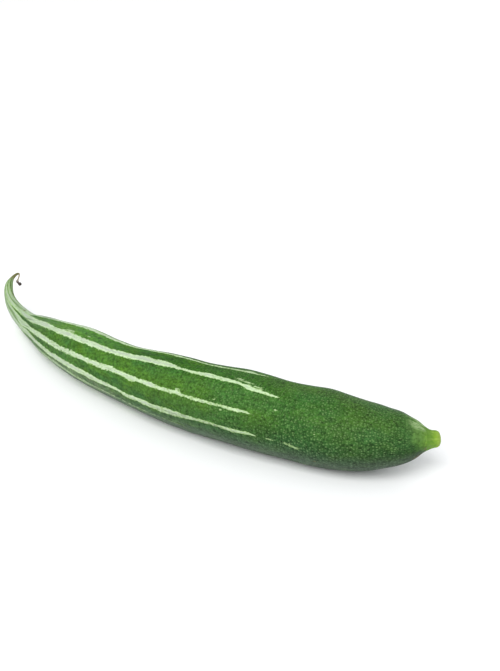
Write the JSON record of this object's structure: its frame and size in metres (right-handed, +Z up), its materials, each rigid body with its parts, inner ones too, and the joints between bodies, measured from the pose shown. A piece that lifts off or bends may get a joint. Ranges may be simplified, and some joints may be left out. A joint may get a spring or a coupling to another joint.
{
  "type": "snake gourd",
  "caption": "Picked snake gourd lying on its side: long curved green fruit, pale stripes, hooked beak with withered flower, cut stalk stub.",
  "frame": {"origin": "on the surface that the gourd lies on, under the middle of the whole gourd's box", "axes": "+Z up; +X along the gourd's length, from the beak towards the stalk; the belly bows out towards -Y"},
  "size_m": [0.3565, 0.0757, 0.0449],
  "materials": {
    "gourd_skin": "smooth waxy green skin with jagged pale stripes, fine light specks and a greyish bloom",
    "cut_stalk": "fleshy yellow-green stalk with a pale cut face",
    "withered": "dry dull brown, shrivelled"
  },
  "bodies": {
    "root": {"fruit": "gourd_skin", "stalk_stub": "cut_stalk", "withered_flower": "withered"}
  },
  "joints": []
}
